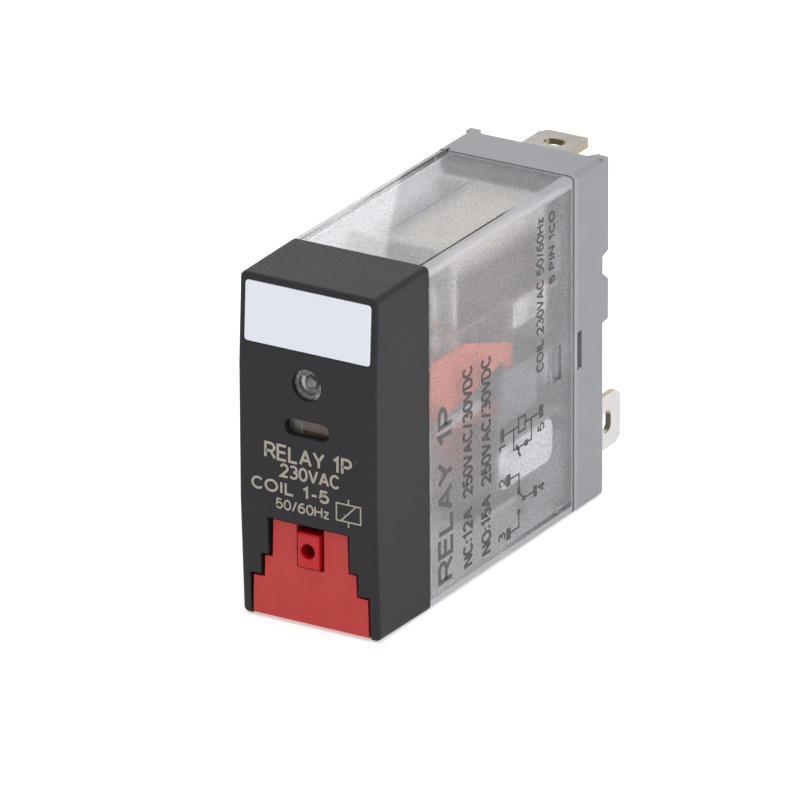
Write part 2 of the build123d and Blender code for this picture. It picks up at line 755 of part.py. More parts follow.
with BuildPart() as resistor:
    with Locations((0, -30.15, 9.6)):
        Cylinder(0.7, 3.4, rotation=(0, 90, 0))
        Cylinder(0.24, 5.4, rotation=(0, 90, 0))
resistor.part.label = "resistor"
export_step(resistor.part, "parts/resistor.step")

with BuildPart() as diode:
    with Locations((0, -30.2, 7.0)):
        Cylinder(0.6, 2.8, rotation=(0, 90, 0))
        Cylinder(0.24, 5.4, rotation=(0, 90, 0))
diode.part.label = "diode"
export_step(diode.part, "parts/diode.step")


def lead_wire(name, stops):
    """Round copper lead through the given corner points."""
    with BuildPart() as lead:
        with BuildLine() as path:
            FilletPolyline(*stops, radius=0.45)
        with BuildSketch(Plane(path.line @ 0, z_dir=path.line % 0)):
            Circle(0.19)
        sweep()
    lead.part.label = name
    export_step(lead.part, "parts/" + name + ".step")
    return lead


right_stops = [
    (3.9, -31.6, 10.8),
    (3.9, -26.9, 10.8),
    (5.05, -26.2, 9.4),
    (5.05, -24.0, 6.9),
    (5.05, -8.45, 6.9),
    (5.05, -8.45, 5.9),
]
left_stops = [
    (-3.9, -31.6, 10.8),
    (-3.9, -26.6, 10.8),
    (-5.05, -24.4, 10.8),
    (-5.05, -7.3, 10.8),
    (-3.6, -7.3, 11.75),
    (-1.0, -7.3, 11.75),
]
lead_right = lead_wire("lead_right", right_stops)
lead_left = lead_wire("lead_left", left_stops)
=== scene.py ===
import bpy
import numpy as np
from math import radians, sin, cos
from mathutils import Matrix, Vector


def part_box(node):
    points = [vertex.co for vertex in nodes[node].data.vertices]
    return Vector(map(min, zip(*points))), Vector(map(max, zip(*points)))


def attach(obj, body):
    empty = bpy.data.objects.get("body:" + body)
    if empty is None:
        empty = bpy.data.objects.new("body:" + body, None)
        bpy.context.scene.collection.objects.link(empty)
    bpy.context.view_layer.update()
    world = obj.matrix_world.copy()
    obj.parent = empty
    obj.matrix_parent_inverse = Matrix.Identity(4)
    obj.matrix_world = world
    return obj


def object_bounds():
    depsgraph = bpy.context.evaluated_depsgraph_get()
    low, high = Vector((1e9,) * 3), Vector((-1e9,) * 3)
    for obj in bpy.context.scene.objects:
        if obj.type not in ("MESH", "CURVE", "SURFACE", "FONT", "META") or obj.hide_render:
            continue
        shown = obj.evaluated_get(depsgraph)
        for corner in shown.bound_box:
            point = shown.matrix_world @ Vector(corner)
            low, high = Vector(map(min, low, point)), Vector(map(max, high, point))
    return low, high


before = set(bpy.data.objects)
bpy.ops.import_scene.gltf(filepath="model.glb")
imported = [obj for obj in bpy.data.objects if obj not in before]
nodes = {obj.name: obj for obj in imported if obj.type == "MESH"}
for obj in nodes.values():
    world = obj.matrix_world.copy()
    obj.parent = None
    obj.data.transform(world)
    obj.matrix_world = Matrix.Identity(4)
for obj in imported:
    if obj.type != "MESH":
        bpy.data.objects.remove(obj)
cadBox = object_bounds()
scene = bpy.context.scene
mm = 0.001
noiseSpan = {"From Min": 0.3, "From Max": 0.7}  # nearly all of a noise texture's values lie here
print("frame loaded:", len(nodes), "nodes")


def linear(code):
    # sRGB hex to linear: c / 12.92 below 0.04045, else ((c + 0.055) / 1.055) ^ 2.4
    c = np.array([int(code[i:i + 2], 16) for i in (1, 3, 5)]) / 255
    low = c / 12.92
    high = ((c + 0.055) / 1.055) ** 2.4
    return (*np.where(c <= 0.04045, low, high), 1.0)


def addNode(tree, kind, settings=None, links=None):
    # settings go to a property if the node has one of that name, else to the input socket
    node = tree.nodes.new(kind)
    for key, value in (settings or {}).items():
        if isinstance(key, str) and hasattr(node, key):
            setattr(node, key, value)
        else:
            node.inputs[key].default_value = value
    for key, socket in (links or {}).items():
        tree.links.new(socket, node.inputs[key])
    return node


def startMaterial(name, surface):
    # a material with one Principled shader, whose constant values are set on its own sockets
    material = bpy.data.materials.new(name)
    material.use_nodes = True
    tree = material.node_tree
    tree.nodes.clear()
    shader = addNode(tree, "ShaderNodeBsdfPrincipled", surface)
    addNode(tree, "ShaderNodeOutputMaterial", links={"Surface": shader.outputs[0]})
    place = addNode(tree, "ShaderNodeTexCoord")
    return material, tree, shader, place


def moulded(name, look):
    # injection moulded plastic: the tool's grain is the height, drawn coarser than its real
    # 0.05 mm so that it shows, broad noise mixes the two tones, a few pale dust specks lie on
    # top, and roughness follows the grain
    material, tree, shader, place = startMaterial(name, {
        "IOR": 1.54, "Specular IOR Level": look.get("specular", 0.5)})
    where = place.outputs["Object"]
    grain = addNode(tree, "ShaderNodeTexNoise", {
        "Scale": 1 / (look["grain"] * mm), "Detail": 3.0, "Roughness": 0.6}, {"Vector": where})
    broad = addNode(tree, "ShaderNodeTexNoise", {
        "Scale": 1 / (look["cloud"] * mm), "Detail": 2.0, "Roughness": 0.5}, {"Vector": where})
    shade = addNode(tree, "ShaderNodeMix", {
        "data_type": "RGBA", "A": linear(look["base"]), "B": linear(look["shade"])},
        {"Factor": broad.outputs["Fac"]})
    # dust: the centres of rare cells
    cells = addNode(tree, "ShaderNodeTexVoronoi", {
        "Scale": 1 / (look["dustGap"] * mm)}, {"Vector": where})
    near = addNode(tree, "ShaderNodeMath", {"operation": "LESS_THAN", 1: look["dustSize"]},
                   {0: cells.outputs["Distance"]})
    pick = addNode(tree, "ShaderNodeSeparateColor", links={"Color": cells.outputs["Color"]})
    rare = addNode(tree, "ShaderNodeMath", {"operation": "LESS_THAN", 1: look["dustShare"]},
                   {0: pick.outputs[0]})
    dust = addNode(tree, "ShaderNodeMath", {"operation": "MULTIPLY"},
                   {0: near.outputs[0], 1: rare.outputs[0]})
    dusty = addNode(tree, "ShaderNodeMix", {
        "data_type": "RGBA", "B": linear(look["dust"])},
        {"Factor": dust.outputs[0], "A": shade.outputs["Result"]})
    tree.links.new(dusty.outputs["Result"], shader.inputs["Base Color"])
    rough = addNode(tree, "ShaderNodeMapRange", noiseSpan | {
        "To Min": look["rough"] - look["spread"], "To Max": look["rough"] + look["spread"]},
        {"Value": grain.outputs["Fac"]})
    tree.links.new(rough.outputs[0], shader.inputs["Roughness"])
    bump = addNode(tree, "ShaderNodeBump", {
        "Strength": look["bump"], "Distance": look["depth"] * mm},
        {"Height": grain.outputs["Fac"]})
    tree.links.new(bump.outputs[0], shader.inputs["Normal"])
    return material


def metal(name, look):
    # rolled or plated strip: cloudy noise mixes the two tones, the bare edge colour shows
    # where a face turns away from the sheet's axis, and streaks are noise drawn out along
    # the rolling direction, coarser than the real rolling lines so that they show
    material, tree, shader, place = startMaterial(name, {"Metallic": 1.0})
    where = place.outputs["Object"]
    along = addNode(tree, "ShaderNodeMapping", {"Scale": look["stretch"]}, {"Vector": where})
    streak = addNode(tree, "ShaderNodeTexNoise", {
        "Scale": 1 / (look["streak"] * mm), "Detail": 4.0, "Roughness": 0.65},
        {"Vector": along.outputs[0]})
    cloud = addNode(tree, "ShaderNodeTexNoise", {
        "Scale": 1 / (look["cloud"] * mm), "Detail": 3.0}, {"Vector": where})
    tone = addNode(tree, "ShaderNodeMix", {
        "data_type": "RGBA", "A": linear(look["base"]), "B": linear(look["shade"])},
        {"Factor": cloud.outputs["Fac"]})
    colour = tone.outputs["Result"]
    if "edge" in look:
        facing = addNode(tree, "ShaderNodeSeparateXYZ", links={"Vector": place.outputs["Normal"]})
        flatness = addNode(tree, "ShaderNodeMath", {"operation": "ABSOLUTE"},
                           {0: facing.outputs[look["sheetAxis"]]})
        cut = addNode(tree, "ShaderNodeMath", {"operation": "LESS_THAN", 1: look["cutBelow"]},
                      {0: flatness.outputs[0]})
        edged = addNode(tree, "ShaderNodeMix", {"data_type": "RGBA", "B": linear(look["edge"])},
                        {"Factor": cut.outputs[0], "A": colour})
        colour = edged.outputs["Result"]
    tree.links.new(colour, shader.inputs["Base Color"])
    rough = addNode(tree, "ShaderNodeMapRange", noiseSpan | {
        "To Min": look["rough"] - look["spread"], "To Max": look["rough"] + look["spread"]},
        {"Value": streak.outputs["Fac"]})
    tree.links.new(rough.outputs[0], shader.inputs["Roughness"])
    bump = addNode(tree, "ShaderNodeBump", {"Strength": look["bump"], "Distance": look["depth"] * mm},
                   {"Height": streak.outputs["Fac"]})
    tree.links.new(bump.outputs[0], shader.inputs["Normal"])
    return material


def wear(node, material):
    obj = nodes[node] if isinstance(node, str) else node
    obj.data.materials.clear()
    obj.data.materials.append(material)


# a long lens, almost without perspective, aimed near the middle of the object
cameraLook = {
    "azimuth": 30.67, "elevation": 22.18, "roll": -0.17, "distance": 0.932,
    "target": (0.0, -12.9 * mm, 0.48 * mm), "lens": 528.4, "shift": (-0.0727, -0.0543),
    "clip": (0.05, 50),
}


def placeCamera(look):
    # back = (sin a cos e, -cos a cos e, sin e), right = (cos a, sin a, 0), then rolled about back
    a, e, r = (radians(look[k]) for k in ("azimuth", "elevation", "roll"))
    back = Vector((sin(a) * cos(e), -cos(a) * cos(e), sin(e)))
    right = Vector((cos(a), sin(a), 0))
    up = back.cross(right)
    across = cos(r) * right + sin(r) * up
    over = -sin(r) * right + cos(r) * up
    spot = Vector(look["target"]) + back * look["distance"]
    turn = Matrix((across, over, back)).transposed().to_4x4()
    data = bpy.data.cameras.new("camera")
    data.lens = look["lens"]
    data.shift_x, data.shift_y = look["shift"]
    data.clip_start, data.clip_end = look["clip"]
    camera = bpy.data.objects.new("camera", data)
    camera.matrix_world = Matrix.Translation(spot) @ turn
    scene.collection.objects.link(camera)
    scene.camera = camera


placeCamera(cameraLook)

# a white room, brighter overhead than at the horizon, a lit table and two soft lamps
studio = {
    "floor": "#cfcfd0", "fibre": "#d6d6d6", "fibreGrain": 2.5, "floorSize": 3.0, "floorGlow": 0.46,
    "room": "#ffffff", "zenith": 1.0, "horizon": 0.42, "brightFrom": 0.9, "aim": (0, -0.015, 0),
    "key": {"place": (0.12, -0.3, 0.8), "size": 0.45, "power": 2.2},
    "side": {"place": (0.75, 0.05, 0.3), "size": 0.4, "power": 2.6},
}
# the soft box behind the object: the clear wall on top mirrors its lower edge as a line from
# edgeBack to edgeFront, both (x, y) on that face in mm
softBox = {
    "reach": 0.5, "size": 0.36, "power": 0.72,
    "edgeBack": (-4.35, -14.8), "edgeFront": (1.6, -26.7),
}


def softLight(name, look, aim):
    data = bpy.data.lights.new(name, "AREA")
    data.shape = "DISK"
    data.size = look["size"]
    data.energy = look["power"]
    light = bpy.data.objects.new(name, data)
    place = Vector(look["place"])
    light.location = place
    light.rotation_euler = (place - aim).to_track_quat("Z", "Y").to_euler()
    scene.collection.objects.link(light)


def mirroredBox(look, topHeight):
    # a square light whose mirror image ends on a straight line across the top face: each end
    # of that line is carried along its own mirrored sight line to the light's plane, which
    # stands square to the middle of the two lines
    eye = scene.camera.matrix_world.translation
    spots, rays = [], []
    for key in ("edgeBack", "edgeFront"):
        spot = Vector((look[key][0] * mm, look[key][1] * mm, topHeight))
        ray = (spot - eye).normalized()
        spots.append(spot)
        rays.append(Vector((ray.x, ray.y, -ray.z)))
    away = (rays[0] + rays[1]).normalized()
    middle = (spots[0] + spots[1]) / 2 + look["reach"] * away
    ends = [spot + ray * ((middle - spot).dot(away) / ray.dot(away))
            for spot, ray in zip(spots, rays)]
    along = (ends[1] - ends[0]).normalized()
    inward = away.cross(along)
    if inward.x > 0:
        inward, along = -inward, -along
    centre = (ends[0] + ends[1]) / 2 + inward * look["size"] / 2
    data = bpy.data.lights.new("softBox", "AREA")
    data.shape = "SQUARE"
    data.size = look["size"]
    data.energy = look["power"]
    light = bpy.data.objects.new("softBox", data)
    light.matrix_world = Matrix.Translation(centre) @ Matrix((along, inward, away)).transposed().to_4x4()
    scene.collection.objects.link(light)


def makeStudio(look, floorHeight):
    world = bpy.data.worlds.new("studio")
    scene.world = world
    world.use_nodes = True
    tree = world.node_tree
    sky = tree.nodes["Background"]
    around = addNode(tree, "ShaderNodeTexCoord")
    height = addNode(tree, "ShaderNodeSeparateXYZ", links={"Vector": around.outputs["Generated"]})
    level = addNode(tree, "ShaderNodeMapRange", {
        "From Max": look["brightFrom"], "To Min": look["horizon"], "To Max": look["zenith"]},
        {"Value": height.outputs["Z"]})
    tree.links.new(level.outputs[0], sky.inputs["Strength"])
    sky.inputs["Color"].default_value = linear(look["room"])
    half = look["floorSize"] / 2
    mesh = bpy.data.meshes.new("floor")
    mesh.from_pydata([(-half, -half, floorHeight), (half, -half, floorHeight),
                      (half, half, floorHeight), (-half, half, floorHeight)], [], [(0, 1, 2, 3)])
    floor = bpy.data.objects.new("floor", mesh)
    scene.collection.objects.link(floor)
    # matt acrylic table with light under it, so the shadow stays faint
    table, tree, shader, place = startMaterial("matt_lit_acrylic_table", {
        "Roughness": 0.9, "Emission Color": linear(look["room"]),
        "Emission Strength": look["floorGlow"]})
    fibre = addNode(tree, "ShaderNodeTexNoise", {"Scale": 1 / (look["fibreGrain"] * mm)},
                    {"Vector": place.outputs["Object"]})
    tint = addNode(tree, "ShaderNodeMix", {
        "data_type": "RGBA", "A": linear(look["floor"]), "B": linear(look["fibre"])},
        {"Factor": fibre.outputs["Fac"]})
    tree.links.new(tint.outputs["Result"], shader.inputs["Base Color"])
    wear(floor, table)
    for name in ("key", "side"):
        softLight(name + "Light", look[name], Vector(look["aim"]))


low, high = cadBox
makeStudio(studio, low[2])
mirroredBox(softBox, high[2])
scene.view_settings.view_transform = "Standard"
print("camera and studio placed")

# black PBT from a spark eroded tool: dull, fine grained, slightly blue, catches pale dust
blackPbt = moulded("black_pbt_spark_eroded", {
    "base": "#201f22", "shade": "#282729", "dust": "#8f8d8b", "grain": 0.16, "cloud": 4.0,
    "rough": 0.55, "spread": 0.06, "bump": 0.5, "depth": 0.02, "specular": 0.2,
    "dustGap": 1.1, "dustSize": 0.035, "dustShare": 0.12})
# grey PBT: even, dull, light grey with a cool cast
greyPbt = moulded("grey_pbt_moulded", {
    "base": "#797b7f", "shade": "#818286", "dust": "#c9c9cb", "grain": 0.2, "cloud": 3.0,
    "rough": 0.48, "spread": 0.05, "bump": 0.25, "depth": 0.02, "specular": 0.45,
    "dustGap": 1.3, "dustSize": 0.03, "dustShare": 0.08})
# red ABS with a matt tool finish: soft brick red, faint mottling
redAbs = moulded("red_abs_matt", {
    "base": "#ac2724", "shade": "#b52f2b", "dust": "#dd9a95", "grain": 0.14, "cloud": 2.2,
    "rough": 0.55, "spread": 0.06, "bump": 0.25, "depth": 0.015, "specular": 0.4,
    "dustGap": 1.0, "dustSize": 0.035, "dustShare": 0.1})
# red ABS with a polished tool finish: deeper and shinier than the lever
redButtonAbs = moulded("red_abs_polished", {
    "base": "#ab0810", "shade": "#b50f17", "dust": "#d98a8c", "grain": 0.3, "cloud": 2.0,
    "rough": 0.34, "spread": 0.04, "bump": 0.1, "depth": 0.01, "specular": 0.3,
    "dustGap": 1.4, "dustSize": 0.02, "dustShare": 0.05})
# white polycarbonate write-on plate: cool white, satin, almost no grain
whitePlate = moulded("white_polycarbonate_satin", {
    "base": "#d5d8e2", "shade": "#dadce4", "dust": "#c4c6cc", "grain": 0.4, "cloud": 5.0,
    "rough": 0.34, "spread": 0.03, "bump": 0.06, "depth": 0.01, "specular": 0.5,
    "dustGap": 2.0, "dustSize": 0.02, "dustShare": 0.05})
# orange acetal actuator: warm, slightly waxy
orangeAcetal = moulded("orange_acetal_moulded", {
    "base": "#ee5a10", "shade": "#f4661b", "dust": "#e9a27d", "grain": 0.3, "cloud": 2.0,
    "rough": 0.42, "spread": 0.05, "bump": 0.1, "depth": 0.01, "specular": 0.5,
    "dustGap": 2.0, "dustSize": 0.02, "dustShare": 0.05})
# natural nylon bobbin: off white, a little waxy
nylonBobbin = moulded("natural_nylon_moulded", {
    "base": "#e6e3da", "shade": "#eeebe2", "dust": "#c7c4bb", "grain": 0.3, "cloud": 2.5,
    "rough": 0.45, "spread": 0.05, "bump": 0.1, "depth": 0.01,
    "dustGap": 2.0, "dustSize": 0.02, "dustShare": 0.05})
# white nylon contact guards: bright, satin
whiteNylon = moulded("white_nylon_moulded", {
    "base": "#fafafa", "shade": "#fdfdfd", "dust": "#e0dfdd", "grain": 0.3, "cloud": 2.5,
    "rough": 0.4, "spread": 0.05, "bump": 0.1, "depth": 0.01,
    "dustGap": 2.0, "dustSize": 0.02, "dustShare": 0.05})
# black epoxy of the diode: smooth, half glossy
epoxyBlack = moulded("black_epoxy_moulded", {
    "base": "#1b1b1d", "shade": "#232325", "dust": "#5a5a5c", "grain": 0.2, "cloud": 1.0,
    "rough": 0.35, "spread": 0.05, "bump": 0.2, "depth": 0.01,
    "dustGap": 1.0, "dustSize": 0.02, "dustShare": 0.05})
# glass epoxy board: dull green, its dust drawn large and brassy for the solder pads
boardLaminate = moulded("green_glass_epoxy_board", {
    "base": "#2e5b3b", "shade": "#376945", "dust": "#b9a15b", "grain": 0.3, "cloud": 1.5,
    "rough": 0.4, "spread": 0.06, "bump": 0.3, "depth": 0.02,
    "dustGap": 0.9, "dustSize": 0.12, "dustShare": 0.3})

# tin plated brass strip: soft grey with a warm cast, brass where it was cut
tinStrip = {
    "cutBelow": 0.6, "stretch": (1.0, 0.12, 1.0), "streak": 0.12, "cloud": 1.2,
    "rough": 0.32, "spread": 0.1, "bump": 0.25, "depth": 0.02,
}
# painted light and shade: both copies are the same tin plating, toned darker on the flat strip, which the
# soft box lights, and lighter on the upright strips
tinFlat = metal("tinned_brass_strip_flat", tinStrip | {
    "base": "#928c84", "shade": "#b3aea6", "edge": "#a5977c", "sheetAxis": "Z"})
tinUpright = metal("tinned_brass_strip_upright", tinStrip | {
    "base": "#bcb9ba", "shade": "#d0cdcd", "edge": "#bcb093", "sheetAxis": "X"})
# phosphor bronze spring strip: pinkish brown, rolled along its length
bronzeStrip = metal("phosphor_bronze_rolled", {
    "base": "#c08a5c", "shade": "#cf9b6c", "stretch": (1.0, 0.1, 1.0), "streak": 0.1,
    "cloud": 1.5, "rough": 0.3, "spread": 0.08, "bump": 0.2, "depth": 0.02})
# silver alloy rivets: white metal with a faint warm bloom
silverAlloy = metal("silver_alloy_rivet", {
    "base": "#d6d4ce", "shade": "#e4e2dd", "stretch": (1.0, 1.0, 1.0), "streak": 0.2,
    "cloud": 0.8, "rough": 0.25, "spread": 0.08, "bump": 0.15, "depth": 0.02})
# zinc plated soft iron: mid grey, slightly cloudy
platedIron = metal("zinc_plated_soft_iron", {
    "base": "#6a6b6f", "shade": "#7b7c80", "stretch": (1.0, 0.2, 1.0), "streak": 0.15,
    "cloud": 2.0, "rough": 0.35, "spread": 0.1, "bump": 0.25, "depth": 0.02})
# bright zinc plating on the armature: pale, almost white metal
brightIron = metal("bright_zinc_plated_armature", {
    "base": "#d2d1cf", "shade": "#e0dfdc", "stretch": (1.0, 0.4, 1.0), "streak": 0.15,
    "cloud": 2.0, "rough": 0.42, "spread": 0.08, "bump": 0.2, "depth": 0.02})
# bare copper leads and shading ring: dull pink metal
bareCopper = metal("bare_copper_wire", {
    "base": "#b98e78", "shade": "#c79d87", "stretch": (1.0, 1.0, 1.0), "streak": 0.15,
    "cloud": 1.0, "rough": 0.28, "spread": 0.06, "bump": 0.1, "depth": 0.02})
# drawn spring steel wire: light grey and smooth
springWire = metal("bright_spring_steel_wire", {
    "base": "#a7a8aa", "shade": "#b7b8ba", "stretch": (1.0, 1.0, 1.0), "streak": 0.12,
    "cloud": 0.8, "rough": 0.24, "spread": 0.06, "bump": 0.1, "depth": 0.02})

finishes = [
    (blackPbt, ("front_cap",)),
    (greyPbt, ("base",)),
    (redAbs, ("test_lever",)),
    (redButtonAbs, ("test_button",)),
    (whitePlate, ("label_plate",)),
    (orangeAcetal, ("actuator",)),
    (nylonBobbin, ("bobbin",)),
    (boardLaminate, ("led_board",)),
    (epoxyBlack, ("diode",)),
    (whiteNylon, ("contact_guard_right", "contact_guard_left")),
    (tinFlat, ("coil_terminal_1", "coil_terminal_5", "common_terminal")),
    (tinUpright, ("no_terminal", "nc_terminal")),
    (bronzeStrip, ("contact_blade", "spring_clamp")),
    (silverAlloy, ("no_contact", "nc_contact", "moving_contact")),
    (platedIron, ("iron_core", "yoke")),
    (brightIron, ("armature",)),
    (bareCopper, ("lead_left", "lead_right", "shading_ring")),
    (springWire, ("button_spring", "return_spring")),
]
for material, names in finishes:
    for name in names:
        wear(name, material)

# enamelled copper winding: fine round turns side by side, amber varnish over copper; the
# turns are drawn coarser than the real 0.06 mm wire so that they show
windingLook = {
    "groove": "#5d2a14", "crest": "#a7572b", "turn": 0.22, "rough": 0.3, "coat": 0.6,
    "coatRough": 0.12, "bump": 0.6, "depth": 0.05,
}


def makeWinding(look):
    material, tree, shader, place = startMaterial("enamelled_copper_wire", {
        "Metallic": 0.8, "Roughness": look["rough"],
        "Coat Weight": look["coat"], "Coat Roughness": look["coatRough"]})
    # the wave texture repeats every 2 pi / 20 of its scaled unit
    turns = addNode(tree, "ShaderNodeTexWave", {
        "wave_type": "BANDS", "bands_direction": "Y", "wave_profile": "SIN",
        "Scale": 2 * np.pi / 20 / (look["turn"] * mm), "Distortion": 0.4, "Detail": 1.0},
        {"Vector": place.outputs["Object"]})
    # painted shade: the hollows between the turns are coloured much darker than the crests
    colour = addNode(tree, "ShaderNodeMix", {
        "data_type": "RGBA", "A": linear(look["groove"]), "B": linear(look["crest"])},
        {"Factor": turns.outputs["Fac"]})
    tree.links.new(colour.outputs["Result"], shader.inputs["Base Color"])
    bump = addNode(tree, "ShaderNodeBump", {
        "Strength": look["bump"], "Distance": look["depth"] * mm},
        {"Height": turns.outputs["Fac"]})
    tree.links.new(bump.outputs[0], shader.inputs["Normal"])
    return material


wear("coil_winding", makeWinding(windingLook))

# polyester coil tape: cream on one half of the top and grey on the -x half, the grey being painted shade
# for the coil's shaded left side;
# on the flanks it turns dark reddish brown
tapeLook = {
    "cream": "#f0ead8", "creamShade": "#e4decf", "grey": "#8b8c8f", "greyShade": "#77787c",
    "flank": "#674b4b", "flankShade": "#503c3c", "flat": 3.9, "soft": 0.4,
    "paintedShadeAt": -1.1, "paintedShadeSoft": 0.7, "cloud": 1.6, "crease": 0.35, "bump": 0.3, "depth": 0.03,
}


def makeTape(look):
    material, tree, shader, place = startMaterial("polyester_coil_tape", {"Roughness": 0.5})
    where = place.outputs["Object"]
    cloud = addNode(tree, "ShaderNodeTexNoise", {
        "Scale": 1 / (look["cloud"] * mm), "Detail": 3.0}, {"Vector": where})
    crease = addNode(tree, "ShaderNodeTexNoise", {
        "Scale": 1 / (look["crease"] * mm), "Detail": 3.0}, {"Vector": where})
    tones = {}
    for name in ("cream", "grey", "flank"):
        tone = addNode(tree, "ShaderNodeMix", {
            "data_type": "RGBA", "A": linear(look[name + "Shade"]), "B": linear(look[name])},
            {"Factor": cloud.outputs["Fac"]})
        tones[name] = tone.outputs["Result"]
    parts = addNode(tree, "ShaderNodeSeparateXYZ", links={"Vector": where})
    reach = addNode(tree, "ShaderNodeMath", {"operation": "ABSOLUTE"}, {0: parts.outputs["X"]})
    # painted shade: across this x the top turns from the grey tone on the -x side to the cream one
    paintedShadeMask = addNode(tree, "ShaderNodeMapRange", {
        "From Min": (look["paintedShadeAt"] - look["paintedShadeSoft"]) * mm,
        "From Max": (look["paintedShadeAt"] + look["paintedShadeSoft"]) * mm}, {"Value": parts.outputs["X"]})
    bare = addNode(tree, "ShaderNodeMapRange", {
        "From Min": (look["flat"] - look["soft"]) * mm,
        "From Max": (look["flat"] + look["soft"]) * mm}, {"Value": reach.outputs[0]})
    top = addNode(tree, "ShaderNodeMix", {"data_type": "RGBA"}, {
        "Factor": paintedShadeMask.outputs[0], "A": tones["grey"], "B": tones["cream"]})
    whole = addNode(tree, "ShaderNodeMix", {"data_type": "RGBA"}, {
        "Factor": bare.outputs[0], "A": top.outputs["Result"], "B": tones["flank"]})
    tree.links.new(whole.outputs["Result"], shader.inputs["Base Color"])
    bump = addNode(tree, "ShaderNodeBump", {
        "Strength": look["bump"], "Distance": look["depth"] * mm},
        {"Height": crease.outputs["Fac"]})
    tree.links.new(bump.outputs[0], shader.inputs["Normal"])
    return material


wear("coil_tape", makeTape(tapeLook))

# lacquered resistor: tan body with colour bands across it and bare leads at both ends; each
# stop is where a colour starts, from 0 at one end of the body to 1 at the other
resistorLook = {
    "halfLength": 1.7, "rough": 0.35, "coat": 0.3,
    "stops": [(0.0, "#b7b3ab"), (0.03, "#b99b6b"), (0.2, "#7d2f1c"), (0.29, "#b99b6b"),
              (0.38, "#d9832b"), (0.47, "#b99b6b"), (0.56, "#2b2320"), (0.65, "#b99b6b"),
              (0.8, "#b8953f"), (0.88, "#b99b6b"), (0.97, "#b7b3ab")],
}


def makeResistor(look):
    material, tree, shader, place = startMaterial("lacquered_resistor", {
        "Roughness": look["rough"], "Coat Weight": look["coat"]})
    across = addNode(tree, "ShaderNodeSeparateXYZ", links={"Vector": place.outputs["Object"]})
    span = addNode(tree, "ShaderNodeMapRange", {
        "From Min": -look["halfLength"] * mm, "From Max": look["halfLength"] * mm},
        {"Value": across.outputs["X"]})
    bands = addNode(tree, "ShaderNodeValToRGB", links={"Fac": span.outputs[0]})
    ramp = bands.color_ramp
    ramp.interpolation = "CONSTANT"
    # the ramp already has a stop at each end
    for spot, code in look["stops"][1:]:
        ramp.elements.new(spot).color = linear(code)
    ramp.elements[0].color = linear(look["stops"][0][1])
    ramp.elements[-1].color = linear(look["stops"][-1][1])
    tree.links.new(bands.outputs[0], shader.inputs["Base Color"])
    return material


wear("resistor", makeResistor(resistorLook))

# clear polycarbonate lens: bright rims, grey in its depth
lensLook = {"tint": "#e8eaec", "clear": 0.85, "ior": 1.5, "swirl": 0.6, "smooth": 0.04, "dull": 0.2}


def makeLens(look):
    material, tree, shader, place = startMaterial("clear_polycarbonate_lens", {
        "Base Color": linear(look["tint"]), "Transmission Weight": look["clear"], "IOR": look["ior"]})
    swirl = addNode(tree, "ShaderNodeTexNoise", {"Scale": 1 / (look["swirl"] * mm)},
                    {"Vector": place.outputs["Object"]})
    rough = addNode(tree, "ShaderNodeMapRange", {"To Min": look["smooth"], "To Max": look["dull"]},
                    {"Value": swirl.outputs["Fac"]})
    tree.links.new(rough.outputs[0], shader.inputs["Roughness"])
    return material


lensClear = makeLens(lensLook)
for name in ("led_lens", "status_led"):
    wear(name, lensClear)

# smoked acrylic flag window: grey, keeps the flag dull behind it
smokedLook = {
    "tint": "#9b9d92", "shade": "#a9aa9f", "clear": 0.9, "ior": 1.49, "haze": 0.5,
    "smooth": 0.05, "dull": 0.2,
}


def makeSmoked(look):
    material, tree, shader, place = startMaterial("smoked_acrylic_window", {
        "Transmission Weight": look["clear"], "IOR": look["ior"]})
    haze = addNode(tree, "ShaderNodeTexNoise", {"Scale": 1 / (look["haze"] * mm), "Detail": 2.0},
                   {"Vector": place.outputs["Object"]})
    tone = addNode(tree, "ShaderNodeMix", {
        "data_type": "RGBA", "A": linear(look["tint"]), "B": linear(look["shade"])},
        {"Factor": haze.outputs["Fac"]})
    tree.links.new(tone.outputs["Result"], shader.inputs["Base Color"])
    rough = addNode(tree, "ShaderNodeMapRange", {"To Min": look["smooth"], "To Max": look["dull"]},
                    {"Value": haze.outputs["Fac"]})
    tree.links.new(rough.outputs[0], shader.inputs["Roughness"])
    return material


wear("flag_window", makeSmoked(smokedLook))

# frosted clear polycarbonate: polished outside, etched inside with specks of grain that are
# drawn coarser than real so that they show, and solid along its edges, which gather light
# and look milky
housingLook = {
    "ior": 1.34,  # under the real 1.58, so that the wall mirrors less and shows what is inside
    "clear": 0.93, "rimClear": 0.5, "outer": 0.02, "inner": 0.42,
    "tint": "#fdfdff", "speckTint": "#bab8c1", "rimTint": "#c2bfc5",
    "speck": 0.13, "speckFrom": 0.38, "speckTo": 0.5, "bump": 0.3, "depth": 0.02,
    "skin": 0.2, "wall": 0.85, "jointRim": 0.9,
    # painted shade: the tint, reach and patchiness of a dark line over the inner corners
    "paintedCornerTint": "#1f1d1f", "paintedCornerIn": 0.1, "paintedCornerOut": 0.12,
    "paintedCornerPatch": 9.0, "paintedCornerFrom": 0.42, "paintedCornerTo": 0.52,
}


